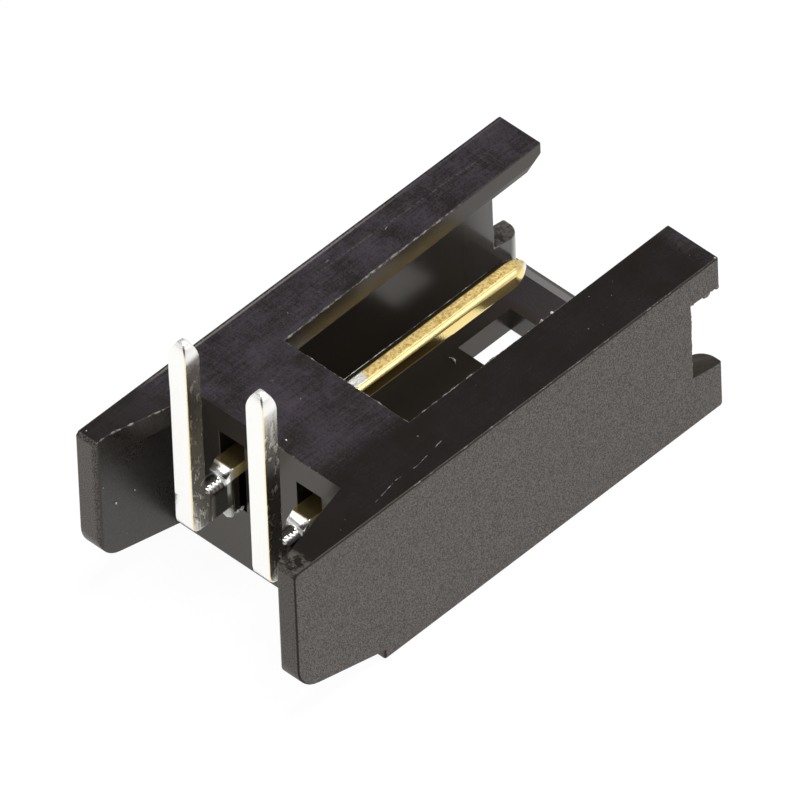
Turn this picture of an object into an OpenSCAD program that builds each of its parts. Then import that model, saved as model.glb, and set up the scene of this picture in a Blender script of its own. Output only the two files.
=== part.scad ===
// Two-way right-angle shrouded pin header, lying on its back with the solder tails up.
// X runs along the row of contacts, Y towards the mating mouth, Z away from the surface it lies on.
// The origin is under the middle of the whole part.

/* [Row of contacts] */
// Distance between the two contacts
pitch = 2.54; // [2.4:0.02:2.8]
// Distance from a contact's middle to the housing's outer side
side_margin = 2.34; // [2.1:0.02:3]

/* [Housing] */
// Length from the wings' rear ends to the mating mouth
housing_length = 14.5; // [13.5:0.1:17]
// Height from the back to the board side
housing_height = 4.9; // [4.6:0.05:6]
// Thickness of the two side walls and the wings
side_wall = 0.66; // [0.5:0.02:0.8]
// Thickness of the back wall, which holds the latch window
back_wall = 0.7; // [0.5:0.05:1.2]
// Thickness of the two rails on the board side
rail_thickness = 0.66; // [0.5:0.01:0.9]
// Width of each rail, from the outer side to the open window
rail_width = 1.57; // [1.2:0.01:1.8]
// Depth of the solid base behind the cavity
base_depth = 2.68; // [2.3:0.02:3.5]

/* [Mating mouth] */
// Depth of the notch in each side wall
notch_depth = 0.97; // [0.6:0.01:1.4]
// Height of the lip under the notch, at the notch's root
lip_height = 1.6; // [1.2:0.05:1.9]
// How far the lip's top falls towards the mouth
lip_fall = 0.15; // [0.05:0.05:0.4]
// Height of the prong above the notch
prong_height = 0.95; // [0.9:0.05:1.4]
// Depth of the lead-in bevel on the back wall and the rails
lead_in_depth = 0.5; // [0.2:0.05:0.8]
// Height of the lead-in bevel
lead_in_height = 0.3; // [0.1:0.05:0.4]
// Radius of the lead-in round on the side walls
lead_in_round = 0.45; // [0.2:0.05:0.48]

/* [Latch window] */
// Width of the latch window
latch_width = 3.8; // [2.5:0.1:4.4]
// Length of the latch window
latch_length = 1.8; // [1:0.1:3]
// Distance from the mouth to the latch window
latch_setback = 1.57; // [1:0.01:2.5]

/* [Wings] */
// Length of the wings behind the base
wing_length = 2.87; // [2.5:0.01:3.5]
// Height of the step between the back and a wing's lower edge
wing_step = 0.28; // [0.1:0.02:0.6]
// Height of a wing's lower edge where it would meet the rear end
wing_toe = 1.05; // [0.7:0.05:1.4]
// Radius of a wing's lower rear corner
wing_corner = 0.9; // [0.3:0.05:1]
// Bevel on a wing's upper rear edge
wing_bevel = 0.1; // [0.05:0.05:0.4]
// Radius of a wing's inner rear edge
wing_round = 0.15; // [0.1:0.05:0.45]
// Length of the brace between a wing and the base
brace_length = 2.4; // [1.5:0.05:2.45]
// How far the brace reaches in at the base
brace_reach = 0.6; // [0.2:0.05:0.8]
// Thickness of the brace
brace_thickness = 0.65; // [0.3:0.05:1]

/* [Contacts] */
// Width of a contact along the row
contact_width = 0.6; // [0.5:0.02:0.7]
// Thickness of the post and the tail
post_thickness = 0.5; // [0.4:0.02:0.64]
// Height of the post's middle above the back
post_level = 2.72; // [2.5:0.02:2.9]
// Distance from the mouth to the post's tip
post_setback = 1.68; // [0.8:0.02:3]
// Length of the tapered tip on the post
post_taper = 0.6; // [0.3:0.05:1]
// Length of the tail past the board side
tail_reach = 3.52; // [2.5:0.02:4.5]
// Length of the tapered tip on the tail
tail_taper = 0.54; // [0.3:0.02:1]
// Distance from the wings' rear ends to the tails
tail_setback = 1.18; // [0.8:0.02:1.3]
// Width left at the end of a tapered tip
tip_flat = 0.16; // [0.1:0.02:0.34]
// How far the shank stands above the post
shank_above = 0.33; // [0.1:0.01:0.5]
// How far the shank stands below the post
shank_below = 0.14; // [0.05:0.01:0.35]
// Radius of the outer bend between shank and tail
outer_bend = 0.25; // [0.1:0.05:0.4]
// Radius of the inner bend between shank and tail
inner_bend = 0.15; // [0.05:0.05:0.3]

/* [Seats of the contacts] */
// How far the pressed-in plate stands above the post
plate_above = 0.53; // [0.52:0.01:0.7]
// How far the pressed-in plate stands below the post
plate_below = 0.42; // [0.36:0.02:0.6]
// How far the plate shows behind the base
plate_show = 0.3; // [0.1:0.02:0.5]
// How far the plate goes into the base
plate_depth = 1.9; // [1.4:0.05:2]
// Gap around a contact in the pocket at the rear of the base
pocket_gap = 0.11; // [0.05:0.01:0.3]
// Height of the pocket above the plate
pocket_above = 0.62; // [0.2:0.02:0.7]
// Depth of the pocket
pocket_depth = 0.8; // [0.4:0.05:1.2]
// Clearance between a contact and its slot
slot_clearance = 0.01; // [0.005:0.005:0.05]

/* [Hidden] */
$fn = 48;

plastic_black = "#2c2a2d";
plated_gold = "#d0aa55";

// How far a cutting tool stands out of the face that it cuts
through = 0.5;

width = pitch + 2 * side_margin;
cavity_width = width - 2 * side_wall;
cavity_top = housing_height - rail_thickness;
window_width = width - 2 * rail_width;
base_rear = wing_length;
base_front = wing_length + base_depth;

post_bottom = post_level - post_thickness / 2;
post_top = post_level + post_thickness / 2;
post_tip = housing_length - post_setback;
shank_bottom = post_bottom - shank_below;
shank_top = post_top + shank_above;
plate_bottom = post_bottom - plate_below;
plate_top = post_top + plate_above;
plate_rear = base_rear - plate_show;
plate_front = base_rear + plate_depth;
tail_rear = tail_setback;
tail_front = tail_setback + post_thickness;
tail_tip = housing_height + tail_reach;

// Moves the pieces from the wings' rear ends, where Y is measured, to the part's own origin
module placed() {
    translate([0, -housing_length / 2, 0]) children();
}

// A block from y0 to y1 and z0 to z1, centred on the row
module block(size_x, y0, y1, z0, z1) {
    translate([-size_x / 2, y0, z0]) cube([size_x, y1 - y0, z1 - z0]);
}

// A plane outline whose first axis is Y and whose second is Z, thickened along X about the row's middle
module side_profile(size_x) {
    translate([-size_x / 2, 0, 0])
        rotate([90, 0, 90])
            linear_extrude(size_x) children();
}

// The waste outside a round inner edge: a square corner at the origin less its quarter circle
module corner_waste(radius) {
    difference() {
        translate([-through, -through]) square(radius + through);
        translate([radius, radius]) circle(radius);
    }
}

// Copies a shape to the other side of the row
module both_sides() {
    children();
    mirror([1, 0, 0]) children();
}

// Repeats a shape at each contact
module at_contacts() {
    for (side = [-1, 1])
        translate([side * pitch / 2, 0, 0]) children();
}

// Lower rear corner of a wing: the round sits on the rear end and on the sloping lower edge
module wing_outline() {
    slope = (wing_toe - wing_step) / wing_length;
    rise = sqrt(1 + slope * slope);
    round_z = wing_toe - slope * wing_corner + wing_corner * rise;
    touch = [wing_corner - wing_corner * slope / rise, round_z - wing_corner / rise];
    difference() {
        polygon([
            [0, wing_toe],
            [base_rear + side_wall, wing_step - slope * side_wall],
            [base_rear + side_wall, housing_height],
            [wing_bevel, housing_height],
            [0, housing_height - wing_bevel]
        ]);
        difference() {
            polygon([[0, wing_toe], touch, [wing_corner, round_z], [0, round_z]]);
            translate([wing_corner, round_z]) circle(wing_corner);
        }
    }
}

// One wing with its brace, on the +X side
module wing() {
    inner = cavity_width / 2;
    difference() {
        translate([inner + side_wall / 2, 0, 0]) side_profile(side_wall) wing_outline();
        translate([inner, 0, -through])
            linear_extrude(housing_height + 2 * through) corner_waste(wing_round);
    }
    translate([0, base_rear, housing_height - brace_thickness])
        linear_extrude(brace_thickness)
            polygon([[inner, -brace_length], [inner + side_wall / 2, -brace_length],
                [inner + side_wall / 2, 0], [inner - brace_reach, 0]]);
}

// The lead-in at the mouth, between a floor and a ceiling that slope outwards
module lead_in_space(size_x) {
    mouth = housing_length;
    side_profile(size_x)
        polygon([
            [mouth - lead_in_depth, back_wall],
            [mouth, back_wall - lead_in_height],
            [mouth + through, back_wall - lead_in_height],
            [mouth + through, cavity_top + lead_in_height],
            [mouth, cavity_top + lead_in_height],
            [mouth - lead_in_depth, cavity_top]
        ]);
}

// The space that the mating plug fills. At its mouth the side walls are rounded, as high as the lead-in goes
module mating_cavity() {
    block(cavity_width, base_front, housing_length + through, back_wall, cavity_top);
    lead_in_space(cavity_width);
    both_sides()
        intersection() {
            lead_in_space(width);
            translate([cavity_width / 2, housing_length, 0])
                rotate([0, 0, 180])
                    mirror([1, 0, 0])
                        linear_extrude(housing_height) corner_waste(lead_in_round);
        }
}

// The notch through both side walls, open at the mouth
module mouth_notch() {
    root = housing_length - notch_depth;
    fall_past_mouth = lip_fall * (notch_depth + through) / notch_depth;
    side_profile(width + 2 * through)
        polygon([
            [root, lip_height],
            [housing_length + through, lip_height - fall_past_mouth],
            [housing_length + through, housing_height - prong_height],
            [root, housing_height - prong_height]
        ]);
}

// The way of one contact through the base: open pocket, slot for the plate and hole for the post
module contact_seat() {
    fit = 2 * slot_clearance;
    block(contact_width + 2 * pocket_gap, base_rear - through, base_rear + pocket_depth,
        plate_bottom - pocket_gap, plate_top + pocket_above);
    block(contact_width + fit, base_rear - through, plate_front + slot_clearance,
        plate_bottom - slot_clearance, plate_top + slot_clearance);
    block(contact_width + fit, base_rear, base_front + through,
        post_bottom - slot_clearance, post_top + slot_clearance);
}

module housing() {
    latch_front = housing_length - latch_setback;
    color(plastic_black) placed() difference() {
        union() {
            block(width, base_rear, housing_length, 0, housing_height);
            both_sides() wing();
        }
        mating_cavity();
        block(window_width, base_front, housing_length + through, back_wall, housing_height + through);
        mouth_notch();
        block(latch_width, latch_front - latch_length, latch_front, -through, back_wall + through);
        at_contacts() contact_seat();
    }
}

// Side outline of a contact: tail, bend, shank, plate and post
module contact_outline() {
    difference() {
        union() {
            translate([tail_rear, shank_bottom])
                square([post_thickness, tail_tip - shank_bottom]);
            translate([tail_rear, shank_bottom])
                square([plate_rear - tail_rear, shank_top - shank_bottom]);
            translate([plate_rear, plate_bottom])
                square([plate_front - plate_rear, plate_top - plate_bottom]);
            translate([plate_rear, post_bottom])
                square([post_tip - plate_rear, post_thickness]);
            difference() {
                translate([tail_front, shank_top]) square(inner_bend);
                translate([tail_front + inner_bend, shank_top + inner_bend]) circle(inner_bend);
            }
        }
        translate([tail_rear, shank_bottom]) corner_waste(outer_bend);
    }
}

// The waste beside a tapered tip: on two sides, what stands outside the arcs that close in on the flat end
module tip_waste(across, taper) {
    tip_in = (across - tip_flat) / 2;
    radius = (tip_in * tip_in + taper * taper) / (2 * tip_in);
    both_sides()
        rotate([90, 0, 0])
            linear_extrude(contact_width + 2 * through, center = true)
                difference() {
                    translate([tip_flat / 2, -taper]) square([tip_in + through, taper + through]);
                    translate([across / 2 - radius, -taper]) circle(radius);
                }
}

// The waste on all four sides of a tip that points up at the origin
module tip_cut(taper) {
    tip_waste(contact_width, taper);
    rotate([0, 0, 90]) tip_waste(post_thickness, taper);
}

module contact() {
    difference() {
        side_profile(contact_width) contact_outline();
        translate([0, (tail_rear + tail_front) / 2, tail_tip]) tip_cut(tail_taper);
        translate([0, post_tip, post_level]) rotate([-90, 0, 0]) tip_cut(post_taper);
    }
}

module contact_1() {
    color(plated_gold) placed() translate([-pitch / 2, 0, 0]) contact();
}

module contact_2() {
    color(plated_gold) placed() translate([pitch / 2, 0, 0]) contact();
}

housing();
contact_1();
contact_2();
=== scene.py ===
import math

import bmesh
import bpy
import numpy as np
from bpy.props import FloatProperty, FloatVectorProperty, PointerProperty
from mathutils import Matrix, Vector


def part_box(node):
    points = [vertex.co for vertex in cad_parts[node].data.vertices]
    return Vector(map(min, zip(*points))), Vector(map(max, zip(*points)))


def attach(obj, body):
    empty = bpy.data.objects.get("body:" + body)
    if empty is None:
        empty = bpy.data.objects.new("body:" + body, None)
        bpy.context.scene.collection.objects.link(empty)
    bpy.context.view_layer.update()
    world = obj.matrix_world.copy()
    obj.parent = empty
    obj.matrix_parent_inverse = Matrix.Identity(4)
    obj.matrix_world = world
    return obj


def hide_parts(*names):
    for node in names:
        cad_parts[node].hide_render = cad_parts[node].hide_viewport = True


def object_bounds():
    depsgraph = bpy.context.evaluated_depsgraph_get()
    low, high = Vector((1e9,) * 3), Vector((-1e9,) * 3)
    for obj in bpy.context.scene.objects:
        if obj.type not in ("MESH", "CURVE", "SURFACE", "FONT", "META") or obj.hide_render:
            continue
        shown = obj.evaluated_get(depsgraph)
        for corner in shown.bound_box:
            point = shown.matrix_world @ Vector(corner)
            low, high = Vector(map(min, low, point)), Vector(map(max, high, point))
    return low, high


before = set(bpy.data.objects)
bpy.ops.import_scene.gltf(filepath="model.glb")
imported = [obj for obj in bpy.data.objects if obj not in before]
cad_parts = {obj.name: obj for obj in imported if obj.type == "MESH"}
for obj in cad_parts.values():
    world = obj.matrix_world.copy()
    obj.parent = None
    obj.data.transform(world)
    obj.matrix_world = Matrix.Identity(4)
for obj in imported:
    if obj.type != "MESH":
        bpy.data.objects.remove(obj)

# Looks of a two-way right-angle shrouded pin header: a black moulding with two bent, plated contacts.
# Everything is in metres, in the frame of the solids: X runs along the row, Y out of the mouth, and Z the
# way that the tails point.

bl_info = {
    "name": "Right-angle pin header",
    "version": (1, 0, 0),
    "blender": (4, 5, 0),
    "location": "View3D > Sidebar > Pin header",
    "description": "Finishes a right-angle pin header and sets it on a pale studio floor",
    "category": "Object",
}

MM = 0.001
# How near to a face a point counts as on it, the room round edges that are picked out by their place, and
# how near to each other two points are one
ON_FACE = 0.01 * MM
MARGIN = 0.05 * MM
WELD = 0.001 * MM
# Faces that turn by less than the first angle are one. Edges that turn by less than the second stay plain
FLAT_TURN = math.radians(1)
EDGE_TURN = math.radians(25)
CAD_BOX = [[float(value) for value in corner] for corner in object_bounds()]
HOUSING_LOW, HOUSING_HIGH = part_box("housing")
CONTACT_NODES = ("contact_1", "contact_2")
CONTACT_LOW, CONTACT_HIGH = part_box(CONTACT_NODES[1])
CONTACT_X = (CONTACT_LOW.x + CONTACT_HIGH.x) / 2
# Outer faces of the housing in millimetres, for its finish
FLANK = HOUSING_HIGH.x / MM
REAR = HOUSING_LOW.y / MM
MOUTH = HOUSING_HIGH.y / MM
BOARD = HOUSING_HIGH.z / MM


# Settings


def length(name, description, millimetres, least=0):
    """A size that a user may change, given in millimetres and kept in metres."""
    return FloatProperty(
        name=name,
        description=description,
        default=millimetres * MM,
        min=least * MM,
        precision=6,
        subtype="DISTANCE",
        unit="LENGTH",
    )


def angle(name, description, degrees):
    """An angle that a user may change, given in degrees and kept in radians."""
    turn = math.radians(degrees)
    return FloatProperty(name=name, description=description, default=turn, subtype="ANGLE", unit="ROTATION")


def colour(name, description, red, green, blue):
    """A colour that a user may change, in linear light."""
    return FloatVectorProperty(
        name=name,
        description=description,
        default=(red, green, blue),
        min=0,
        max=1,
        subtype="COLOR",
    )


def share(name, description, value, most=1):
    """A plain number that a user may change."""
    return FloatProperty(
        name=name, description=description, default=value, min=0, max=most, subtype="FACTOR"
    )


class HousingSettings(bpy.types.PropertyGroup):
    """Sizes of the moulding that its finish follows."""

    edge_round: length("Edge round", "Radius of the moulding's edges", 0.04)
    side_round: length("Side edge round", "Radius of the outer sides' edges", 0.06)
    gap_round: length("Gap edge round", "Radius of the edges behind the base", 0.012)
    chin_round: length("Chin round", "Radius of the mouth's lowest edge", 0.15)
    side_wall: length("Side wall", "Thickness of the side walls and the wings", 0.66)
    back_wall: length("Back wall", "Thickness of the wall under the cavity", 0.7)
    rail_thickness: length("Rail thickness", "Thickness of the two rails on the board side", 0.66)
    wing_length: length("Wing length", "Length of the wings behind the base", 2.87)
    wing_bend: length("Wing bend", "Where a wing's inner edge bends, from its end", 0.47)
    gap_half: length("Gap half-width", "Half the width of the gap at the base", 2.35)
    base_depth: length("Base depth", "Depth of the solid base behind the cavity", 2.68)
    rail_width: length("Rail width", "Width of a rail, up to the open window", 1.57)
    rear_skew: length("Rear skew", "Stray of the window to -X at its closed end", 0.04)
    far_skew: length("Far skew", "Stray of its -X edge to -X at the mouth", 0.19)
    near_skew: length("Near skew", "Stray of its +X edge to -X at the mouth", 0.1)
    notch_depth: length("Notch depth", "Depth of the notch in each side wall", 0.97)
    lip_height: length("Lip height", "Height of the lip under the notch", 1.6)
    prong_height: length("Prong height", "Height of the prong above the notch", 0.95)
    pocket_low: length("Pocket floor", "Lower end of the contacts' pockets", 1.9)
    pocket_high: length("Pocket ceiling", "Upper end of the contacts' pockets", 4.2)
    flash: length("Flash", "Radius of the flash along an edge", 0.026)
    scratch: length("Scratch", "Radius of a scratch on the board side", 0.012)
    speck: length("Speck", "Radius of a stray speck", 0.035)

    @property
    def base_rear(self):
        """Rear face of the base, between the wings."""
        return HOUSING_LOW.y + self.wing_length

    @property
    def base_front(self):
        """Front face of the base, where the cavity and the open window end."""
        return self.base_rear + self.base_depth


class ContactSettings(bpy.types.PropertyGroup):
    """Sizes of one bent contact, from the tip of its post to the tip of its tail."""

    thickness: length("Thickness", "Thickness of the post and the tail", 0.5)
    post_taper: length("Post taper", "Length of the tapered tip on the post", 0.6)
    tail_taper: length("Tail taper", "Length of the tapered tip on the tail", 0.54)
    tip_flat: length("Tip width", "Width left at the end of a tapered tip", 0.16)
    tip_dome: length("Tip dome", "Height of the dome that closes a tip", 0.05)
    plate_above: length("Plate above", "Height of the plate above the post", 0.53)
    plate_below: length("Plate below", "Depth of the plate below the post", 0.42)
    plate_show: length("Plate show", "Length of the plate behind the base", 0.3)
    plate_depth: length("Plate depth", "Length of the plate in the base", 1.9)
    shank_above: length("Shank above", "Height of the shank above the post", 0.33)
    shank_below: length("Shank below", "Depth of the shank below the post", 0.14)
    outer_bend: length("Outer bend", "Outer radius between shank and tail", 0.25)
    inner_bend: length("Inner bend", "Inner radius between shank and tail", 0.15)
    post_corner: length("Post corner", "Radius of the post's long edges", 0.11)
    shank_corner: length("Shank corner", "Radius of the shank's upper edges", 0.25)
    tooth: length("Tooth", "Length of one tooth along the shank's upper edges", 0.12)
    ramp: length("Ramp", "Length of the slope from plate to shank", 0.2)
    burr: length("Burr", "Radius of the burr along the post's upper edge", 0.011)
    burr_length: length("Burr length", "Length of the burr's thick part, from the base", 3.1)
    # The lump and thread under each plate's rear corner are pale to stand in for the glint there
    burr_lump: length("Burr lump", "Radius of the lump under the plate", 0.15)
    stamped_corner: length("Stamped corner", "Radius of the other long edges", 0.045)
    step_ease: length("Step ease", "Rounding of the steps along a contact", 0.04)
    gold_limit: length("Gold limit", "Where the gold ends, from the wings' rear ends", 2.6)


class FinishSettings(bpy.types.PropertyGroup):
    """Colours of the moulding and of the two platings."""

    plastic: colour("Plastic", "Black of the polished board side", 0.0105, 0.0088, 0.0072)
    # Inner plastic: the moulding's own black, lightened as painted fill light so that the shaded cavity
    # isn't too dark
    inner: colour("Inner plastic", "Black of the moulding's other faces", 0.037, 0.030, 0.024)
    # Haze: scuffs, and a painted purple-grey sheen that stands in for the board side's reflection
    haze: colour("Haze", "Purple-grey haze on the board side", 0.058, 0.048, 0.062)
    grain: colour("Grain", "Grey of the grained flanks", 0.125, 0.110, 0.101)
    # Worn plastic: rubbed edges and flash, and the painted highlight line along the -X rail's outer edge
    worn: colour("Worn plastic", "Grey of rubbed edges and flash", 0.33, 0.31, 0.29)
    dust: colour("Dust", "Pale grey of stray specks", 0.85, 0.82, 0.76)
    gold: colour("Gold", "Gold plating of the post", 0.98, 0.77, 0.31)
    # Pale gold: a painted highlight on the post's upper faces, strongest along the smooth stripe
    pale_gold: colour("Pale gold", "Gold along the post's smooth edge", 1.0, 0.88, 0.48)
    dark_gold: colour("Dark gold", "Gold where the plating is thin", 0.62, 0.36, 0.08)
    # Groove bronze: painted shade on the strip beside the burr and on the plate's sides
    groove: colour("Groove", "Bronze in the groove beside the burr", 0.05, 0.04, 0.022)
    tin: colour("Tin", "Tin plating of shank and tail", 0.96, 0.955, 0.93)
    # Dark tin: tarnish, and painted shade on the tails' sides below their tips
    dark_tin: colour("Dark tin", "Tin where it has tarnished", 0.58, 0.54, 0.44)


class StageSettings(bpy.types.PropertyGroup):
    """Camera, lights and floor."""

    azimuth: angle("Azimuth", "Turn of the camera round the part, from looking along +Y", 45.5417)
    elevation: angle("Elevation", "Height of the camera above the floor, as an angle", 44.6222)
    roll: angle("Roll", "Turn of the camera about its own axis", -2.3399)
    view_width: length("View width", "Width of the picture at the part", 18.9855)
    aim_right: length("Aim right", "Shift of the picture to the right of the housing", -0.0158, -10)
    aim_up: length("Aim up", "Shift of the picture above the housing", 0.4263, -10)
    camera_distance: length("Camera distance", "Distance from the part to the camera", 700)
    floor_size: length("Floor size", "Side of the square floor", 1200)
    floor_gap: length("Floor gap", "How far the floor lies under the part", 0.004)
    top_light: share("Top light", "Brightness of the soft box above", 5, 50)
    side_light: share("Side light", "Brightness of the soft box to the right", 4, 50)
    rear_light: share("Rear light", "Brightness of the soft box behind the tails", 2, 50)
    ceiling_light: share("Ceiling light", "Brightness of the room above", 0.12, 5)
    horizon_light: share("Horizon light", "Brightness of the room near the floor", 0.9, 5)


GROUPS = {
    "header_housing": HousingSettings,
    "header_contact": ContactSettings,
    "header_finish": FinishSettings,
    "header_stage": StageSettings,
}


# Shader recipes


class Wire:
    """A shader socket that takes part in sums: each operator adds the Math node that it stands for."""

    def __init__(self, recipe, socket):
        self.recipe = recipe
        self.socket = socket

    def math(self, operation, *values):
        return self.recipe.node("ShaderNodeMath", {"operation": operation}, dict(enumerate(values)))

    def __add__(self, other):
        return self.math("ADD", self, other)

    __radd__ = __add__

    def __sub__(self, other):
        return self.math("SUBTRACT", self, other)

    def __rsub__(self, other):
        return self.math("SUBTRACT", other, self)

    def __mul__(self, other):
        return self.math("MULTIPLY", self, other)

    __rmul__ = __mul__

    def __mod__(self, other):
        return self.math("FLOORED_MODULO", self, other)

    def __gt__(self, other):
        return self.math("GREATER_THAN", self, other)

    def __lt__(self, other):
        return self.math("LESS_THAN", self, other)

    def __abs__(self):
        return self.math("ABSOLUTE", self)

    def larger(self, other):
        return self.math("MAXIMUM", self, other)

    def sine(self):
        return self.math("SINE", self)


class Recipe:
    """One node tree, filled by Python expressions."""

    def __init__(self, tree):
        self.tree = tree
        self.tree.nodes.clear()

    def node(self, kind, settings=None, sockets=None, output=0):
        """Adds one node, with its settings and then each socket's value or link, and returns one output."""
        made = self.tree.nodes.new(kind)
        for key, value in (settings or {}).items():
            setattr(made, key, value)
        for key, value in (sockets or {}).items():
            if isinstance(value, Wire):
                self.tree.links.new(value.socket, made.inputs[key])
            else:
                made.inputs[key].default_value = value
        return Wire(self, made.outputs[output]) if made.outputs else None

    def millimetres(self):
        """The place on the piece, in millimetres."""
        place = self.node("ShaderNodeTexCoord", output="Object")
        return self.node("ShaderNodeVectorMath", {"operation": "SCALE"}, {0: place, "Scale": 1 / MM})

    def parts(self, vector):
        """The three parts of a vector."""
        split = self.node("ShaderNodeSeparateXYZ", sockets={0: vector})
        return [Wire(self, socket) for socket in split.socket.node.outputs]

    def noise(self, place, scale, detail=3.0, rough=0.5):
        """Cloudy noise from 0 to 1, with about scale lumps to a millimetre."""
        sockets = {"Vector": place, "Scale": scale, "Detail": detail, "Roughness": rough}
        return self.node("ShaderNodeTexNoise", sockets=sockets)

    def streaks(self, place, scale, detail, rough, degrees=0):
        """Noise on the place turned about Z and scaled along each axis, so that it runs in streaks."""
        sockets = {"Vector": place, "Rotation": (0, 0, math.radians(degrees)), "Scale": scale}
        return self.noise(self.node("ShaderNodeMapping", sockets=sockets), 1, detail, rough)

    def fade(self, value, low, high, start=0.0, end=1.0):
        """A smooth change from start to end while value goes from low to high."""
        settings = {"interpolation_type": "SMOOTHSTEP", "clamp": True}
        sockets = {"Value": value, "From Min": low, "From Max": high, "To Min": start, "To Max": end}
        return self.node("ShaderNodeMapRange", settings, sockets)

    def facing(self, part):
        """1 where one part of the normal is near its full length, falling to 0 where the face turns away."""
        return self.fade(part, 0.5, 0.8)

    def mix(self, first, second, factor):
        """One colour turning into another. A plain colour is taken as opaque."""
        first, second = (tint if isinstance(tint, Wire) else (*tint, 1.0) for tint in (first, second))
        return self.node("ShaderNodeMix", {"data_type": "RGBA"}, {0: factor, 6: first, 7: second}, output=2)

    def bump(self, height, millimetres, strength):
        """A normal tilted by the slope of height, which is so many millimetres deep."""
        sockets = {"Height": height, "Distance": millimetres * MM, "Strength": strength}
        return self.node("ShaderNodeBump", sockets=sockets)

    def surface(self, shader):
        """Ends the tree with a surface shader."""
        self.node("ShaderNodeOutputMaterial", sockets={"Surface": shader})

    def skin(self, sockets):
        """Ends the tree with a plastic or metal skin that has these values or links."""
        self.surface(self.node("ShaderNodeBsdfPrincipled", sockets=sockets))


def new_finish(name):
    """A material with an empty tree, and the recipe that fills it."""
    material = bpy.data.materials.new(name)
    material.use_nodes = True
    return material, Recipe(material.node_tree)


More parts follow.
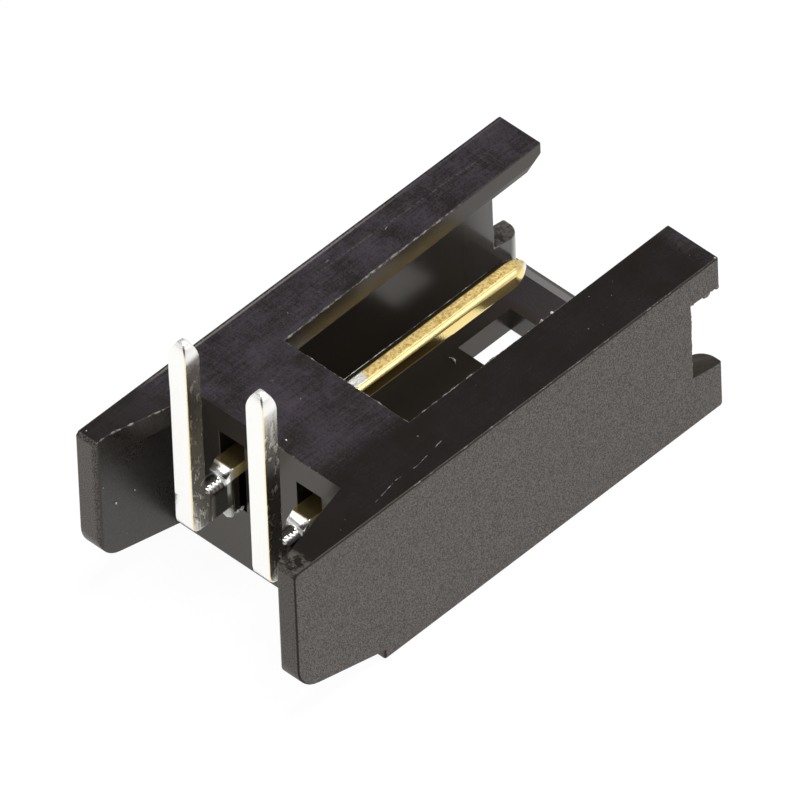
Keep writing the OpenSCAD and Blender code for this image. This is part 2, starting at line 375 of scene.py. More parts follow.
def moulded_black(scene):
    """Black moulded plastic: grained flanks, a scuffed board side with a painted purple sheen, and smooth,
    shiny inner walls.
    """
    sizes = scene.header_housing
    colours = scene.header_finish
    inner = FLANK - sizes.side_wall / MM
    base_rear = sizes.base_rear / MM
    notch = MOUTH - sizes.notch_depth / MM
    floor = sizes.back_wall / MM
    material, recipe = new_finish("moulded_black")
    fade = recipe.fade
    mix = recipe.mix
    place = recipe.millimetres()
    x, y, z = recipe.parts(place)
    across, ahead, up = recipe.parts(recipe.node("ShaderNodeTexCoord", output="Normal"))

    # Patterns
    grain = recipe.noise(place, 33.1, 1, 0.7)
    cloud = recipe.noise(place, 0.8, 3, 0.6)
    mottle = recipe.noise(place, 25.6, 3, 0.65)
    rag = recipe.noise(place, 5, 4, 0.7)
    streak = recipe.streaks(place, (26, 1.2, 4), 2, 0.6, 3)
    hatch = recipe.streaks(place, (2, 22, 4), 2, 0.6, -28)
    band = recipe.streaks(place, (0.2, 0.12, 2.2), 2, 0.5)
    fleck = fade(recipe.noise(place, 5.5, 2, 0.8), 0.735, 0.76)
    scuff = mottle * 0.55 + streak * 0.27 + hatch * 0.18
    drift = cloud - 0.5

    # Faces and the zones on them
    board = fade(z, BOARD - 0.12, BOARD - 0.06) * recipe.facing(up)
    flank = fade(abs(x), FLANK - 0.1, FLANK - 0.05) * recipe.facing(abs(across))
    rear_end = (y < REAR + 0.4) * fade(0 - ahead, 0.4, 0.7)
    near_end = rear_end * fade(x, 2, 2.5)
    wing = (y < base_rear - 0.05) * recipe.facing(abs(across)) * (1 - flank)
    matt = flank + rear_end * (1 - flank) + wing * 0.25
    lip = (abs(x) > inner - 0.05) * fade(y, notch + 0.02, notch + 0.07)
    lip = lip * fade(up, 0.7, 0.9) * (1 - board)
    wing_tip = board * fade(y, REAR + 0.75, REAR + 0.5) * fade(x, inner - 0.15, inner + 0.05)
    lead_in = (abs(x) < FLANK - 0.16) * (z < BOARD - 0.5) * fade(abs(across), 0.2, 0.4)
    lead_in = lead_in * fade(y, MOUTH - 2.25, MOUTH - 0.85)
    ledge = fade(y + drift * 0.4, MOUTH - 1.55, MOUTH - 1.25) * fade(up, 0.8, 0.95) * (z < floor + 0.1)
    chin = fade(y, MOUTH - 0.17, MOUTH - 0.13) * fade(up, 0.2, 0.4) * (z < floor + 0.2)
    level = abs(across).larger(abs(ahead)).larger(abs(up))
    # Painted shade: the flanks' rounded edges, darkened into an outline
    edge = fade(level, 0.985, 0.9) * fade(abs(x), FLANK - 0.08, FLANK - 0.06)

    # Wear, a painted sheen and a painted highlight line
    # Painted sheen: a purple-grey reflection on the board side that fades out on the near rail, which is
    # also smoother
    polished_no_sheen = fade(x + drift * 1.2, 1.35, 2.0) * fade(y, MOUTH - 0.05, MOUTH - 0.65)
    scuffed = board * (1 - polished_no_sheen * 0.85)
    sheen_cover = scuffed * fade(scuff + drift * 0.4, 0.36, 0.66)
    sheen_cover = sheen_cover * fade(y, base_rear - 1.32, base_rear - 0.12, 0.3)
    torn = (wing_tip + lip * fade(x, 1, -1, 0.1)) * fade(rag, 0.42, 0.62)
    # Painted highlight: a pale line along the -X rail's outer edge
    rim = board * fade(abs(x + (FLANK - 0.11) + (mottle - 0.5) * 0.08), 0.04, 0.015)
    rim = rim * fade(y, MOUTH - 2.75, MOUTH - 5.75, 0.2) * fade(y, base_rear - 1.02, base_rear + 0.18)
    score = board * fade(abs(x + (FLANK - 0.51) - y * 0.03 + drift * 0.1), 0.025, 0.01)
    score = score * fade(y, 0, 0.8) * fade(y, MOUTH - 1.05, MOUTH - 1.75) * fade(hatch, 0.4, 0.6)

    # Colour, gloss and relief
    # The inner faces' lighter black is painted fill light for the shaded cavity
    base = mix(colours.inner, colours.plastic, board + wing + matt * 0.6 * (1 - wing))
    # Painted sheen in the haze colour, on the board side and on the ledge
    base = mix(base, colours.haze, sheen_cover + ledge * fade(mottle, 0.35, 0.6, 0.1, 0.6))
    base = mix(base, colours.grain, matt * fade(grain * 0.95 + band * 0.05, 0.46, 0.54))
    base = mix(base, colours.grain, torn * 0.65 + score * 0.6)
    # Pale specks, and the painted rim highlight
    base = mix(base, colours.worn, fleck * (board * 0.5 + 0.08) + rim * 0.5)
    # Painted shade on the flanks' rounded edges, and a darker chin
    base = mix(base, colours.plastic, edge * 0.9 + chin * 0.8)
    rough = 0.2 + 0.05 * cloud + scuffed * (0.02 + 0.12 * scuff) + matt * (0.14 + 0.08 * grain + 0.08 * band)
    rough = rough + near_end * 0.1 + torn * 0.2 + edge * 0.3 + chin * 0.25
    height = scuffed * scuff * 0.6 + matt * grain + torn * rag * 3
    recipe.skin({
        "Base Color": base,
        "Roughness": rough,
        "IOR": 1.47,
        "Specular Tint": (1.0, 0.91, 0.82, 1),
        "Coat Weight": lead_in * (0.4 + 0.6 * fade(ahead, 0.05, 0.3)),
        "Coat IOR": 1.9,
        "Coat Roughness": 0.08,
        "Normal": recipe.bump(height, 0.008, 0.6),
    })
    return material


def rubbed_plastic(scene):
    """The moulding's plastic where it is drawn out into flash or rubbed: lighter, with a torn surface."""
    colours = scene.header_finish
    material, recipe = new_finish("rubbed_plastic")
    lump = recipe.noise(recipe.millimetres(), 9, 3, 0.6)
    recipe.skin({
        "Base Color": recipe.mix(colours.plastic, colours.worn, recipe.fade(lump, 0.35, 0.7)),
        "Roughness": 0.2 + 0.25 * lump,
        "IOR": 1.5,
        "Normal": recipe.bump(lump, 0.01, 0.7),
    })
    return material


def pale_dust(scene):
    """Shreds and dust from the moulding: pale, dull and uneven."""
    colours = scene.header_finish
    material, recipe = new_finish("pale_dust")
    lump = recipe.noise(recipe.millimetres(), 14, 2, 0.6)
    recipe.skin({
        "Base Color": recipe.mix(colours.dust, colours.worn, recipe.fade(lump, 0.45, 0.75)),
        "Roughness": 0.45 + 0.2 * lump,
        "Normal": recipe.bump(lump, 0.01, 0.7),
    })
    return material


def plated_metal(scene):
    """Gold on the post and tin on the shank and the tail, over dimples and drawn marks."""
    sizes = scene.header_contact
    moulding = scene.header_housing
    colours = scene.header_finish
    material, recipe = new_finish("plated_metal")
    fade = recipe.fade
    mix = recipe.mix
    place = recipe.millimetres()
    x, y, z = recipe.parts(place)
    across, ahead, up = recipe.parts(recipe.node("ShaderNodeTexCoord", output="Normal"))
    limit = REAR + sizes.gold_limit / MM
    base_front = moulding.base_front / MM
    plate_rear = (moulding.base_rear - sizes.plate_show) / MM
    plate_high = (CONTACT_LOW.z + sizes.plate_below + sizes.thickness + sizes.plate_above) / MM
    shank_front = plate_rear - sizes.ramp / MM
    post_end = CONTACT_HIGH.y / MM
    tip = CONTACT_HIGH.z / MM
    pitch = 2 * CONTACT_X / MM

    # Patterns
    drift = recipe.noise(place, 4, 2) - 0.5
    fine = recipe.noise(place, 28, 2, 0.6)
    sand = recipe.noise(place, 14, 3, 0.7)
    speckle = fade(sand, 0.45, 0.6)
    drawn = recipe.streaks(place, (18, 18, 1.1), 3, 0.65)
    pits = fade(recipe.streaks(place, (6, 6, 3), 3, 0.65), 0.55, 0.68)

    # Post: a strip of painted shade beside the burr, a sanded band and a smooth stripe
    on_post = fade(y, base_front - 0.02, base_front)
    top = fade(up, 0.1, 0.4) * on_post
    across_post = (x + pitch) % pitch - pitch / 2 + (fine - 0.5) * 0.04
    # Painted shade: the strip of the post's top along its -X edge
    edge_shade = top * fade(across_post, -0.12, -0.15)
    smooth = fade(across_post, 0.14, 0.17)
    sanded = top * (1 - smooth) * (1 - edge_shade)
    scraped = sanded * fade(y - base_front + drift * 0.5, 1.95, 1.7)
    gilt = fade(y + drift * 0.5, limit - 0.08, limit + 0.08) * (1 - scraped)
    tip_face = fade(y, post_end - 0.3, post_end - 0.1) * fade(ahead, 0.3, 0.6) * fade(across, 0.1, 0.3)

    # Plate, shank and tail, with painted shade on the tails' and the plate's sides
    on_tail = fade(abs(across), 0.6, 0.9) * fade(y, limit - 0.6, limit - 0.9)
    below_tip = fade(z + drift * 0.6, tip - 0.45, tip - 0.85)
    # Painted shade: the tails' sides are darkened below the tips, which stay bright; they are also rougher
    # and pitted
    dull_shaded_sides = on_tail * below_tip
    below_top = fade(z, plate_high - 0.3, plate_high - 0.36)
    flat_side = fade(y, limit - 0.75, limit - 0.6) * fade(across, 0.15, 0.5)
    # Painted shade: the plate's and shank's +X sides and the plate's lower part
    plate = (flat_side + fade(y, plate_rear - 0.06, plate_rear) * 0.5) * below_top * (1 - on_post)
    seat = fade(y, plate_rear - 0.1, plate_rear) * (1 - on_post) * (1 - below_top)
    rim = fade(across * (0 - ahead), 0.15, 0.4) * (y < limit - 0.6)
    on_shank = (y < shank_front) * (1 - on_tail) * (z < plate_high)
    tooth = fade(up, 0.25, 0.5) * fade(up, 0.98, 0.9) * on_shank
    wave = (y * (2 * math.pi * MM / sizes.tooth)).sine()

    # Colour, gloss and relief
    # Painted highlight: paler gold on the post's upper faces
    gold = mix(colours.gold, colours.pale_gold, top * (0.25 + 0.15 * smooth))
    gold = mix(gold, colours.dark_gold, sanded * speckle * 0.75)
    # Tarnish streaks and specks, and painted shade on the tails' sides
    stain_and_shade = fade(drawn, 0.5, 0.75) * 0.04 + dull_shaded_sides * (0.35 + 0.5 * drawn) + sanded * speckle * 0.3
    base = mix(mix(colours.tin, colours.dark_tin, stain_and_shade), gold, gilt)
    base = mix(base, colours.gold, rim * 0.6)
    base = mix(base, colours.tin, tip_face)
    # Painted shade in the groove bronze
    base = mix(base, colours.groove, edge_shade + plate * 0.8)
    rough = 0.1 + 0.06 * fine + top * (0.28 + 0.1 * sand) + dull_shaded_sides * (0.1 + 0.2 * pits)
    rough = rough + sanded * 0.1 + tooth * 0.2 + on_tail * (1 - below_tip) * 0.2
    rough = rough + fade(z, tip - 0.12, tip - 0.04) * 0.4
    height = sanded * sand + dull_shaded_sides * (pits * 0.25 + drawn * 0.15) + tooth * wave * 0.4 + 0.04 * fine
    recipe.skin({
        "Base Color": base,
        "Metallic": 1 - seat * fade(up, 0.95, 0.8, 0.1, 0.5),
        "Roughness": rough,
        "Normal": recipe.bump(height, 0.035, 0.7),
    })
    return material


def burr_and_glint_metal(scene):
    """Bare bright metal, torn and a little rough along an edge. Behind the base it is untarnished and
    smoother, so that the lump under the plate shows as a painted glint.
    """
    colours = scene.header_finish
    material, recipe = new_finish("burr_and_glint_metal")
    place = recipe.millimetres()
    _, y, _ = recipe.parts(place)
    lump = recipe.noise(place, 12, 2, 0.6)
    # Painted glint: behind the base the lump stays pale and smooth
    clean_glint = y < scene.header_housing.base_rear / MM + 0.5
    recipe.skin({
        "Base Color": recipe.mix(colours.tin, colours.dark_tin, recipe.fade(lump, 0.45, 0.7) * (1 - clean_glint)),
        "Metallic": 0.1,
        "Roughness": 0.4 + 0.2 * lump - 0.2 * clean_glint,
        "Normal": recipe.bump(lump, 0.01, 0.6),
    })
    return material


# Surfaces

# Shares of a quarter turn that a tip's dome and half a bead cover, so that neither ends in a point
DOME_TURN = 0.97 * math.pi / 2
BEAD_TURN = 0.96 * math.pi / 2
# Most of a contact's half-width that its corners' rounds take, at its tips and along it
TIP_SHARE = 0.8
ROUND_SHARE = 0.95
# A direction that no edge of the part follows
ASKEW = (0.31, 0.42, 0.85)


def skin_faces(rings, sides):
    """Quads of a tube: corners i and i + 1 of ring k, counted round, and the same two of ring k + 1."""
    ring, side = np.meshgrid(np.arange(rings - 1), np.arange(sides), indexing="ij")
    after = (side + 1) % sides
    here = ring * sides
    there = here + sides
    return np.stack([here + side, here + after, there + after, there + side], axis=-1).reshape(-1, 4)


def add_object(name, data):
    """A new object in the scene."""
    made = bpy.data.objects.new(name, data)
    bpy.context.scene.collection.objects.link(made)
    return made


def tube_object(name, tubes):
    """One object from closed tubes with flat ends, each an array of rings, sides and X, Y, Z. Its faces are
    turned outwards."""
    points = []
    faces = []
    start = 0
    for tube in tubes:
        rings, sides, _ = tube.shape
        points.append(tube.reshape(-1, 3))
        faces.extend((skin_faces(rings, sides) + start).tolist())
        faces.append((np.arange(sides)[::-1] + start).tolist())
        faces.append((np.arange(sides) + start + (rings - 1) * sides).tolist())
        start += rings * sides
    mesh = bpy.data.meshes.new(name)
    mesh.from_pydata(np.concatenate(points).tolist(), [], faces)
    shape = bmesh.new()
    shape.from_mesh(mesh)
    bmesh.ops.recalc_face_normals(shape, faces=shape.faces)
    shape.to_mesh(mesh)
    shape.free()
    mesh.shade_smooth()
    return add_object(name, mesh)


def arc_taper(along, taper, half, tip_half):
    """Half-width at a distance from a tip: an arc that starts at tip_half and runs into the straight."""
    drop = half - tip_half
    radius = (drop**2 + taper**2) / (2 * drop)
    return half - radius + np.sqrt(radius**2 - (taper - along) ** 2)


def tip_stations(sizes, taper, half_width, half_depth):
    """Distances from a tip, and the two half-widths there: a quarter-round dome, then the taper's arc."""
    turn = np.linspace(DOME_TURN, 0, 7)
    dome = sizes.tip_dome * (1 - np.sin(turn))
    straight = np.linspace(sizes.tip_dome, taper, 14)[1:]
    along = np.concatenate([dome, straight])
    shrink = np.concatenate([np.cos(turn), np.ones(straight.size)])
    held = np.maximum(along, sizes.tip_dome)
    width = arc_taper(held, taper, half_width, sizes.tip_flat / 2) * shrink
    depth = arc_taper(held, taper, half_depth, sizes.tip_flat / 2) * shrink
    return along, width, depth


def bend_stations(pivot, inner, outer, low_y, low_z, half_width, corner):
    """Stations round the bend: rays from the pivot swing from straight down to straight back. The inner
    point is inner away from the pivot. The outer one lies on the two outer faces or on the arc between."""
    turn = np.linspace(0, math.pi / 2, 15)[1:-1]
    ray = np.stack([-np.sin(turn), -np.cos(turn)], axis=-1)
    to_bottom = (pivot[1] - low_z) / np.cos(turn)
    to_back = (pivot[0] - low_y) / np.sin(turn)
    reach = np.minimum(to_bottom, to_back)
    hub = np.array([low_y + outer, low_z + outer]) - pivot
    along = ray @ hub
    inside = np.maximum(along**2 - hub @ hub + outer**2, 0)
    on_arc = along + np.sqrt(inside)
    flat = pivot + ray * reach[:, None]
    in_corner = (flat[:, 0] < low_y + outer) & (flat[:, 1] < low_z + outer)
    reach = np.where(in_corner, np.minimum(on_arc, reach), reach)
    inner_points = pivot + ray * inner
    outer_points = pivot + ray * reach[:, None]
    rest = np.tile([half_width, corner, corner], (turn.size, 1))
    return np.concatenate([inner_points, outer_points, rest], axis=1)


def contact_stations(sizes):
    """Rows along a contact, from the post's tip to the tail's tip. A row holds the Y and Z of the inner face
    and of the outer face, the half-width, and the corner radius on the inner and on the outer side."""
    half = (CONTACT_HIGH.x - CONTACT_LOW.x) / 2
    deep = sizes.thickness / 2
    ease = sizes.step_ease
    slope = 0.3 * ease
    blunt = sizes.post_corner
    sharp = sizes.stamped_corner
    post_low = CONTACT_LOW.z + sizes.plate_below
    post_high = post_low + sizes.thickness
    middle = post_low + deep
    base_rear = bpy.context.scene.header_housing.base_rear
    front = base_rear + sizes.plate_depth
    rear = base_rear - sizes.plate_show
    plate_high = post_high + sizes.plate_above
    plate_low = CONTACT_LOW.z
    shank_high = post_high + sizes.shank_above
    shank_low = post_low - sizes.shank_below
    tail_rear = CONTACT_LOW.y
    tail_front = tail_rear + sizes.thickness
    pivot = np.array([tail_front + sizes.inner_bend, shank_high + sizes.inner_bend])

    along, width, depth = tip_stations(sizes, sizes.post_taper, half, deep)
    tip_y = CONTACT_HIGH.y - along
    corner = np.minimum(blunt, TIP_SHARE * np.minimum(width, depth))
    post = np.stack([tip_y, middle + depth, tip_y, middle - depth, width, corner, corner], axis=-1)

    def straight(y, high, low, upper, lower=sharp):
        return [y, high, y, low, half, upper, lower]

    knuckles = np.array([
        straight(front + 2 * ease, post_high, post_low, blunt, blunt),
        straight(front + ease, post_high, post_low, blunt, blunt),
        straight(front, plate_high - ease, plate_low + ease, sharp),
        straight(front - ease, plate_high, plate_low, sharp),
        straight(rear + ease, plate_high, plate_low, sharp),
        straight(rear, plate_high - slope, plate_low + ease, sharp),
        straight(rear - slope, plate_high - 2 * slope, shank_low, sharp),
        straight(rear - sizes.ramp, shank_high + slope, shank_low, sharp),
    ])
    shank_places = np.linspace(rear - sizes.ramp - slope, pivot[0], 6)
    shank = np.array([straight(y, shank_high, shank_low, sizes.shank_corner) for y in shank_places])
    bend = bend_stations(pivot, sizes.inner_bend, sizes.outer_bend, tail_rear, shank_low, half, sharp)
    along, width, depth = tip_stations(sizes, sizes.tail_taper, half, deep)
    tip_z = CONTACT_HIGH.z - along
    middle_y = tail_rear + deep
    corner = np.minimum(sharp, TIP_SHARE * np.minimum(width, depth))
    tip = np.stack([middle_y + depth, tip_z, middle_y - depth, tip_z, width, corner, corner], axis=-1)
    foot = np.array([[tail_front, pivot[1], tail_rear, pivot[1], half, sharp, sharp]])
    return np.concatenate([post, knuckles, shank, bend, foot, tip[::-1]])


def contact_rings(stations, row_x, per_corner=6):
    """A rounded rectangle carried along the contact: at each station it spans the inner and the outer point,
    is as wide as the row says, and has arcs at its corners."""
    inner = stations[:, 0:2]
    outer = stations[:, 2:4]
    half_width = stations[:, 4:5]
    middle = (inner + outer) / 2
    half_depth = np.linalg.norm(inner - outer, axis=1, keepdims=True) / 2
    normal = (inner - outer) / (2 * half_depth)
    quarter = np.linspace(0, math.pi / 2, per_corner)
    turn = np.concatenate([quarter + corner * math.pi / 2 for corner in range(4)])
    side = np.repeat([1, -1, -1, 1], per_corner)
    face = np.repeat([1, 1, -1, -1], per_corner)
    radius = np.where(face > 0, stations[:, 5:6], stations[:, 6:7])
    radius = np.minimum(radius, ROUND_SHARE * np.minimum(half_width, half_depth))
    across = side * (half_width - radius) + radius * np.cos(turn)
    depth = face * (half_depth - radius) + radius * np.sin(turn)
    rings = np.empty((*across.shape, 3))
    rings[..., 0] = row_x + across
    rings[..., 1] = middle[:, 0:1] + normal[:, 0:1] * depth
    rings[..., 2] = middle[:, 1:2] + normal[:, 1:2] * depth
    return rings


def thread(path, radius, sides=7):
    """A round thread along a path: at each point a ring of the radius there, square to the path."""
    ahead = np.gradient(path, axis=0)
    ahead /= np.linalg.norm(ahead, axis=1, keepdims=True)
    aside = np.cross(ahead, ASKEW)
    aside /= np.linalg.norm(aside, axis=1, keepdims=True)
    over = np.cross(ahead, aside)
    turn = np.linspace(0, 2 * math.pi, sides, endpoint=False)[None, :, None]
    ring = aside[:, None, :] * np.cos(turn) + over[:, None, :] * np.sin(turn)
    return path[:, None, :] + ring * radius[:, None, None]


def flash_thread(points, radius, gaps, seed):
    """A ragged thread along straight stretches between points. Its middle wanders a little, and its radius
    swells in lumps, shrinks where their noise is under gaps, and runs out at both ends."""
    step = 0.04 * MM
    run_out = 0.1 * MM
    wander = 0.15 * radius
    spread = 0.25
    least, most = 0.12, 1.2
    chance = np.random.default_rng(seed)
    points = np.array(points)
    reach = np.concatenate([[0], np.cumsum(np.linalg.norm(np.diff(points, axis=0), axis=1))])
    count = max(8, int(reach[-1] / step))
    along = np.linspace(0, reach[-1], count)
    path = np.stack([np.interp(along, reach, points[:, axis]) for axis in range(3)], axis=-1)
    lumps = np.convolve(chance.random(count + 4), np.ones(5) / 5, mode="valid")
    swell = np.clip((lumps - gaps) / spread, least, most)
    ends = np.clip(np.minimum(along, reach[-1] - along) / run_out, 0.05, 1)
    path = path + chance.normal(0, wander, (count, 3))
    return np.clip(thread(path, radius * swell * ends), *CAD_BOX)


def bead(centre, radius, seed):
    """A small lump: rings along a slanted line, whose radius follows a half circle and swells by chance."""
    chance = np.random.default_rng(seed)
    along = np.sin(np.linspace(-BEAD_TURN, BEAD_TURN, 9))
    path = np.array(centre) + np.outer(along * radius, (1.0, 0.2, 0.1))
    swell = chance.uniform(0.75, 1.15, along.size)
    return np.clip(thread(path, radius * np.sqrt(1 - along**2) * swell), *CAD_BOX)


# Building helpers


def finish_piece(scene, piece, maker):
    """Gives a piece the material that maker builds once for all, and its body."""
    material = bpy.data.materials.get(maker.__name__) or maker(scene)
    piece.data.materials.clear()
    piece.data.materials.append(material)
    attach(piece, "root")


def ends(edge):
    """X without its sign, Y and Z of an edge's two ends."""
    return zip(*((abs(corner.co.x), corner.co.y, corner.co.z) for corner in edge.verts))


def within(values, low, high):
    """Whether all the values lie between low and high, with a little room on either side."""
    return all(low - MARGIN < value < high + MARGIN for value in values)


# Reach of the mouth's lead-in along X, Y and Z
LEAD_IN = Vector((0.45, 0.5, 0.3)) * MM


def in_lead_in(edge, sizes):
    """Whether an edge lies in a corner of the mouth, between a lead-in round and the back wall or a rail."""
    xs, ys, zs = ends(edge)
    inner = HOUSING_HIGH.x - sizes.side_wall
    ceiling = HOUSING_HIGH.z - sizes.rail_thickness
    beside = within(xs, inner, inner + LEAD_IN.x)
    ahead = within(ys, HOUSING_HIGH.y - LEAD_IN.y, HOUSING_HIGH.y)
    below = within(zs, sizes.back_wall - LEAD_IN.z, sizes.back_wall)
    above = within(zs, ceiling, ceiling + LEAD_IN.z)
    return beside and ahead and (below or above)


def in_latch(edge, sizes):
    """Whether an edge belongs to the latch window, in the back wall opposite the open window."""
    xs, ys, zs = ends(edge)
    beside = within(xs, 0, HOUSING_HIGH.x - sizes.rail_width)
    ahead = within(ys, sizes.base_front, HOUSING_HIGH.y - sizes.notch_depth)
    return beside and ahead and within(zs, HOUSING_LOW.z, sizes.back_wall)


def skew_window(places, sizes):
    """Places with those on the window's two long edges moved along -X, and more so near the mouth."""
    near = 0.03 * MM
    half = HOUSING_HIGH.x - sizes.rail_width
    rail_low = HOUSING_HIGH.z - sizes.rail_thickness - MARGIN
    ahead = np.clip((places[:, 1] - sizes.base_front) / (HOUSING_HIGH.y - sizes.base_front), 0, 1)
    most = np.where(places[:, 0] < 0, sizes.far_skew, sizes.near_skew)
    on_edge = (np.abs(np.abs(places[:, 0]) - half) < near) & (places[:, 2] > rail_low)
    moved = places.copy()
    moved[:, 0] -= on_edge * (sizes.rear_skew + (most - sizes.rear_skew) * ahead)
    return moved


def mark_round_edges(shape, sizes):
    """Writes each edge's share of the largest round. Edges in the contacts' seats stay sharp."""
    weight = shape.edges.layers.float.new("bevel_weight_edge")
    seat_room = 0.14 * MM
    seat_half = (CONTACT_HIGH.x - CONTACT_LOW.x) / 2 + seat_room
    base_rear = sizes.base_rear + ON_FACE
    base_front = sizes.base_front + ON_FACE
    for edge in shape.edges:
        if len(edge.link_faces) != 2 or edge.calc_face_angle() < EDGE_TURN:
            continue
        middle = (edge.verts[0].co + edge.verts[1].co) / 2
        in_width = abs(abs(middle.x) - CONTACT_X) < seat_half
        in_depth = base_rear < middle.y < base_front
        in_height = sizes.pocket_low < middle.z < sizes.pocket_high
        if in_lead_in(edge, sizes) or in_latch(edge, sizes) or (in_width and in_depth and in_height):
            edge.smooth = False
            continue
        at_side = min(abs(corner.co.x) for corner in edge.verts) > HOUSING_HIGH.x - ON_FACE
        at_gap = middle.y < base_rear and not at_side
        chin = middle.y > HOUSING_HIGH.y - ON_FACE and middle.z < HOUSING_LOW.z + ON_FACE
        size = sizes.side_round if at_side else sizes.gap_round if at_gap else sizes.edge_round
        edge[weight] = 1 if chin else size / sizes.chin_round


# Operators


class HEADER_OT_housing(bpy.types.Operator):
    """Makes the moulding: the solid's own shape with rounded edges"""

    bl_idname = "header.housing"
    bl_label = "Housing"

    def execute(self, context):
        sizes = context.scene.header_housing
        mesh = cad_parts["housing"].data.copy()
        mesh.name = "moulded_housing"
        shape = bmesh.new()
        shape.from_mesh(mesh)
        bmesh.ops.remove_doubles(shape, verts=shape.verts, dist=WELD)
        bmesh.ops.dissolve_limit(
            shape, angle_limit=FLAT_TURN, verts=shape.verts, edges=shape.edges, use_dissolve_boundaries=False
        )
        if any(not edge.is_manifold for edge in shape.edges):
            raise RuntimeError("The housing's merged mesh isn't closed")
        mark_round_edges(shape, sizes)
        shape.to_mesh(mesh)
        shape.free()
        places = np.empty(len(mesh.vertices) * 3, dtype=np.float32)
        mesh.vertices.foreach_get("co", places)
        mesh.vertices.foreach_set("co", skew_window(places.reshape(-1, 3), sizes).ravel())
        mesh.shade_smooth()
        piece = add_object("moulded_housing", mesh)
        rounds = piece.modifiers.new("rounded edges", "BEVEL")
        rounds.limit_method = "WEIGHT"
        rounds.width = sizes.chin_round
        rounds.segments = 3
        rounds.use_clamp_overlap = False
        rounds.loop_slide = False
        piece.modifiers.new("level faces", "WEIGHTED_NORMAL").keep_sharp = True
        finish_piece(context.scene, piece, moulded_black)
        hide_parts("housing")
        return {"FINISHED"}


class HEADER_OT_contacts(bpy.types.Operator):
    """Makes both contacts, each a rounded strip carried from the post's tip to the tail's tip"""

    bl_idname = "header.contacts"
    bl_label = "Contacts"

    def execute(self, context):
        sizes = context.scene.header_contact
        stations = contact_stations(sizes)
        for node in CONTACT_NODES:
            low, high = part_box(node)
            piece = tube_object("plated_" + node, [contact_rings(stations, (low.x + high.x) / 2)])
            piece.modifiers.new("level faces", "WEIGHTED_NORMAL").keep_sharp = True
            finish_piece(context.scene, piece, plated_metal)
            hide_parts(node)
            add_burr(context.scene, node, low)
        return {"FINISHED"}


def add_burr(scene, node, low):
    """The burrs that stamping leaves: a thin ragged thread along the post's upper edge on the -X side. A
    pale lump and a thread at the plate's lower rear corner stand in for the glint there."""
    sizes = scene.header_contact
    moulding = scene.header_housing
    edge_x = low.x + 0.2 * sizes.post_corner
    edge_z = low.z + sizes.plate_below + sizes.thickness - 0.35 * sizes.post_corner
    thick_end = moulding.base_front + sizes.burr_length
    front = CONTACT_HIGH.y - 1.4 * sizes.post_taper
    plate_rear = moulding.base_rear - sizes.plate_show
    side_x = low.x + CONTACT_HIGH.x - CONTACT_LOW.x
    # A pale lump and a thread under the plate's rear corner: a painted glint
    lump = (side_x - 0.13 * MM, plate_rear - 0.05 * MM, low.z)
    foot_z = low.z + 0.02 * MM
    foot = [(side_x, plate_rear, foot_z), (side_x, plate_rear + 0.34 * MM, foot_z)]
    thick = [(edge_x, moulding.base_front, edge_z), (edge_x, thick_end, edge_z)]
    thin = [(edge_x, thick_end, edge_z), (edge_x, front, edge_z)]
    tubes = [
        flash_thread(thick, sizes.burr, gaps=0.25, seed=11),
        flash_thread(thin, 0.5 * sizes.burr, gaps=0.5, seed=14),
        bead(lump, sizes.burr_lump, seed=12),
        flash_thread(foot, sizes.burr_lump / 3, gaps=0.3, seed=13),
    ]
    piece = tube_object("burr_" + node, tubes)
    finish_piece(scene, piece, burr_and_glint_metal)


class HEADER_OT_flash(bpy.types.Operator):
    """Leaves ragged flash along the edges, scratches on the board side, and stray specks"""

    bl_idname = "header.flash"
    bl_label = "Flash, scratches and specks"

    def execute(self, context):
        sizes = context.scene.header_housing
        for name, tubes, finish in (
            ("edge_flash", edge_flash(sizes), rubbed_plastic),
            ("board_scratches", board_scratches(sizes), rubbed_plastic),
            ("stray_specks", stray_specks(sizes), pale_dust),
        ):
            finish_piece(context.scene, tube_object(name, tubes), finish)
        return {"FINISHED"}


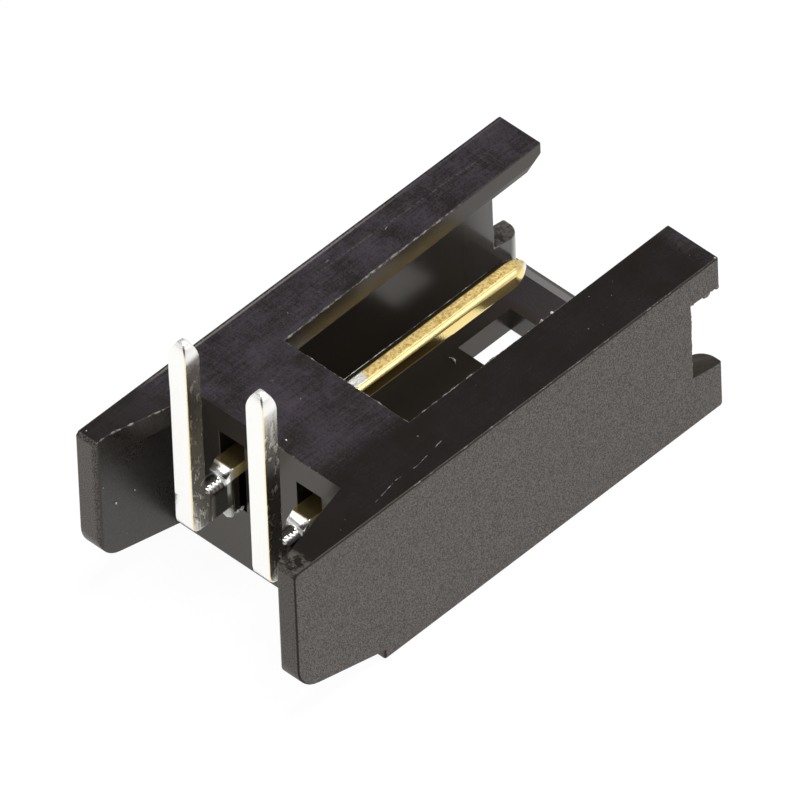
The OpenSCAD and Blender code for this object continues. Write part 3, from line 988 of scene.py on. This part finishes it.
def edge_flash(sizes):
    """Threads of flash, each sunk a little into the rounded edge that it was left on, and one knob."""
    sunk = 0.3 * sizes.edge_round
    thin = sizes.flash
    board = HOUSING_HIGH.z - sunk
    window = HOUSING_HIGH.x - sizes.rail_width + sunk
    far_end = HOUSING_HIGH.y - 2.75 * MM
    near_end = HOUSING_HIGH.y - 3.85 * MM
    side = HOUSING_HIGH.x - 1.3 * thin
    side_start = sizes.base_rear + 0.88 * MM
    rear = sizes.base_front - sunk
    gap = sizes.base_rear + sunk
    mouth = HOUSING_HIGH.y - 1.3 * thin
    notch = HOUSING_HIGH.y - sizes.notch_depth - sunk
    prong = HOUSING_HIGH.z - sizes.prong_height
    wing_x = sizes.side_wall - HOUSING_HIGH.x - sunk
    wing_rear = HOUSING_LOW.y + MARGIN
    wing_bend = HOUSING_LOW.y + sizes.wing_bend
    # Corners of each line, its thickness as a share of the flash, and how much of it is missing
    lines = [
        ([(-window, rear, board), (-window, far_end, board)], 1.0, 0.36),
        ([(-window, rear, board), (window, rear, board)], 0.8, 0.44),
        ([(window, rear, board), (window, near_end, board)], 0.9, 0.44),
        ([(side, notch, prong), (side, mouth, prong)], 2.2, 0.36),
        ([(side, notch, prong), (side, notch, sizes.lip_height)], 0.8, 0.4),
        ([(side, side_start, board), (side, mouth, board)], 0.7, 0.48),
        ([(-sizes.gap_half, gap, board), (sizes.gap_half, gap, board)], 0.7, 0.46),
        ([(wing_x, wing_rear, board), (wing_x, wing_bend, board), (-sizes.gap_half, gap, board)], 1.0, 0.32),
    ]
    tubes = []
    for seed, (line, thickness, gaps) in enumerate(lines):
        route = skew_window(np.array(line), sizes)
        tubes.append(flash_thread(route, thickness * thin, gaps, seed))
    knob = (side - 0.02 * MM, mouth - 0.04 * MM, prong)
    return [*tubes, bead(knob, 0.07 * MM, seed=61)]


def board_scratches(sizes):
    """Light scratches on the board side, as thin threads sunk into the face."""
    level = HOUSING_HIGH.z - 0.3 * sizes.scratch
    # X and Y of each scratch's corners, in millimetres
    routes = [
        [(3.30, -4.22), (3.13, -3.35), (3.17, -2.63), (3.0, -1.59)],
        [(-3.18, 0.55), (-3.2, 1.0)],
        [(-2.9, 2.55), (-2.97, 2.75)],
    ]
    lines = [[(x * MM, y * MM, level) for x, y in route] for route in routes]
    return [flash_thread(line, sizes.scratch, gaps=0.36, seed=seed) for seed, line in enumerate(lines, 30)]


def stray_specks(sizes):
    """Specks of torn plastic that cling to the moulding, and a shred on the cavity's floor."""
    window = FLANK - sizes.rail_width / MM
    wing = sizes.side_wall / MM - FLANK + 0.01
    floor = sizes.back_wall / MM + 0.01
    # X, Y and Z in millimetres, and the radius as a share of the speck size
    rows = [
        (window - 0.07, 2.88, BOARD - 0.01, 1.0),
        (window - 0.08, 3.23, BOARD - 0.01, 1.2),
        (0.28, -4.09, BOARD, 0.8),
        (FLANK - 0.06, MOUTH - 0.08, BOARD - 0.01, 0.8),
        (wing, -6.66, 2.54, 0.9),
        (wing, -7.05, 3.34, 0.5),
        (wing, -6.02, 2.51, 0.5),
        (wing, -6.35, 1.31, 0.4),
        (-3.43, -7.04, BOARD, 0.5),
    ]
    specks = [bead(np.array(row[:3]) * MM, row[3] * sizes.speck, seed) for seed, row in enumerate(rows, 50)]
    shred = np.array([(-1.86, 3.48, floor), (-1.7, 3.5, floor + 0.02), (-1.58, 3.46, floor)]) * MM
    return [*specks, flash_thread(shred, 1.2 * sizes.speck, gaps=0.3, seed=54)]


class HEADER_OT_stage(bpy.types.Operator):
    """Sets the pale floor, the lights and the camera"""

    bl_idname = "header.stage"
    bl_label = "Stage"

    def execute(self, context):
        settings = context.scene.header_stage
        add_floor(settings)
        add_room(context.scene, settings)
        add_camera(context.scene, settings)
        context.scene.view_settings.view_transform = "Standard"
        return {"FINISHED"}


def add_floor(settings):
    """A pale floor just under the part. Camera and mirror rays see it nearly white, with the shadow."""
    half = settings.floor_size / 2
    level = -settings.floor_gap
    corners = [(-half, -half, level), (half, -half, level), (half, half, level), (-half, half, level)]
    mesh = bpy.data.meshes.new("studio_floor")
    mesh.from_pydata(corners, [], [(0, 1, 2, 3)])
    material, recipe = new_finish("studio_white")
    paint = recipe.node("ShaderNodeBsdfDiffuse", sockets={"Color": (0.9, 0.9, 0.9, 1)})
    glow = recipe.node("ShaderNodeEmission", sockets={"Color": (1, 1, 1, 1), "Strength": 1.06})
    path = recipe.node("ShaderNodeLightPath")
    camera, glossy, clear = (
        Wire(recipe, path.socket.node.outputs[name])
        for name in ("Is Camera Ray", "Is Glossy Ray", "Is Transmission Ray")
    )
    seen = (camera + glossy + clear) * 0.9
    recipe.surface(recipe.node("ShaderNodeMixShader", sockets={0: seen, 1: paint, 2: glow}))
    mesh.materials.append(material)
    add_object("studio_floor", mesh)


def add_room(scene, settings):
    """The room: white for the camera, pale near the floor and dim above, with three soft boxes."""
    world = bpy.data.worlds.new("studio_room")
    world.use_nodes = True
    scene.world = world
    recipe = Recipe(world.node_tree)
    direction = recipe.node("ShaderNodeTexCoord", output="Generated")
    _, _, height = recipe.parts(direction)
    path = recipe.node("ShaderNodeLightPath", output="Is Camera Ray")
    level = recipe.fade(height, 0.05, 0.35, settings.horizon_light, settings.ceiling_light)
    level = path + level * (1 - path)
    shade = recipe.node("ShaderNodeBackground", sockets={"Color": (1, 1, 1, 1), "Strength": level})
    recipe.node("ShaderNodeOutputWorld", sockets={"Surface": shade})

    # Name, place above the board side and size in millimetres, and brightness
    boxes = (
        ("top_box", (10, 32, 130), (90, 105), settings.top_light),
        ("side_box", (110, 70, 80), (60, 60), settings.side_light),
        ("rear_box", (-77, -102, 72), (60, 60), settings.rear_light),
    )
    aim = Vector((0, 0, HOUSING_HIGH.z))
    for name, place, size, brightness in boxes:
        add_box(name, aim + Vector(place) * MM, aim, Vector(size) * MM, brightness)


def add_box(name, place, aim, size, brightness):
    """A rectangular light of even brightness, turned towards a point and hidden from the camera."""
    light = bpy.data.lights.new(name, "AREA")
    light.shape = "RECTANGLE"
    light.size, light.size_y = size
    light.energy = brightness * math.pi * size[0] * size[1]
    lamp = add_object(name, light)
    lamp.location = place
    lamp.rotation_euler = (aim - place).to_track_quat("-Z", "Y").to_euler()
    lamp.visible_camera = False


def add_camera(scene, settings):
    """A long lens far from the part, turned by azimuth, elevation and roll, that frames it."""
    turn = settings.azimuth
    lift = settings.elevation
    back = Vector((math.sin(turn) * math.cos(lift), -math.cos(turn) * math.cos(lift), math.sin(lift)))
    level_right = Vector((math.cos(turn), math.sin(turn), 0))
    level_up = back.cross(level_right)
    right = math.cos(settings.roll) * level_right + math.sin(settings.roll) * level_up
    up = math.cos(settings.roll) * level_up - math.sin(settings.roll) * level_right
    middle = (HOUSING_LOW + HOUSING_HIGH) / 2
    place = middle + right * settings.aim_right + up * settings.aim_up + back * settings.camera_distance
    lens = bpy.data.cameras.new("studio_camera")
    lens.lens = lens.sensor_width * settings.camera_distance / settings.view_width
    lens.clip_start = 1 * MM
    lens.clip_end = 4 * settings.camera_distance
    camera = add_object("studio_camera", lens)
    camera.matrix_world = Matrix.Translation(place) @ Matrix((right, up, back)).transposed().to_4x4()
    scene.camera = camera


# Panel and registration

STEPS = (HEADER_OT_housing, HEADER_OT_contacts, HEADER_OT_flash, HEADER_OT_stage)


class HEADER_PT_steps(bpy.types.Panel):
    """Lists the header's pieces and its stage"""

    bl_idname = "HEADER_PT_steps"
    bl_label = "Pin header"
    bl_space_type = "VIEW_3D"
    bl_region_type = "UI"
    bl_category = "Pin header"

    def draw(self, context):
        for step in STEPS:
            self.layout.operator(step.bl_idname)
        for group, kind in GROUPS.items():
            box = self.layout.box()
            for setting in kind.__annotations__:
                box.prop(getattr(context.scene, group), setting)


CLASSES = (*GROUPS.values(), *STEPS, HEADER_PT_steps)


def register():
    for kind in CLASSES:
        bpy.utils.register_class(kind)
    for group, kind in GROUPS.items():
        setattr(bpy.types.Scene, group, PointerProperty(type=kind))


def unregister():
    for group in GROUPS:
        delattr(bpy.types.Scene, group)
    for kind in reversed(CLASSES):
        bpy.utils.unregister_class(kind)


def main():
    register()
    bpy.ops.header.housing()
    bpy.ops.header.contacts()
    bpy.ops.header.flash()
    bpy.ops.header.stage()


if __name__ == "__main__":
    main()
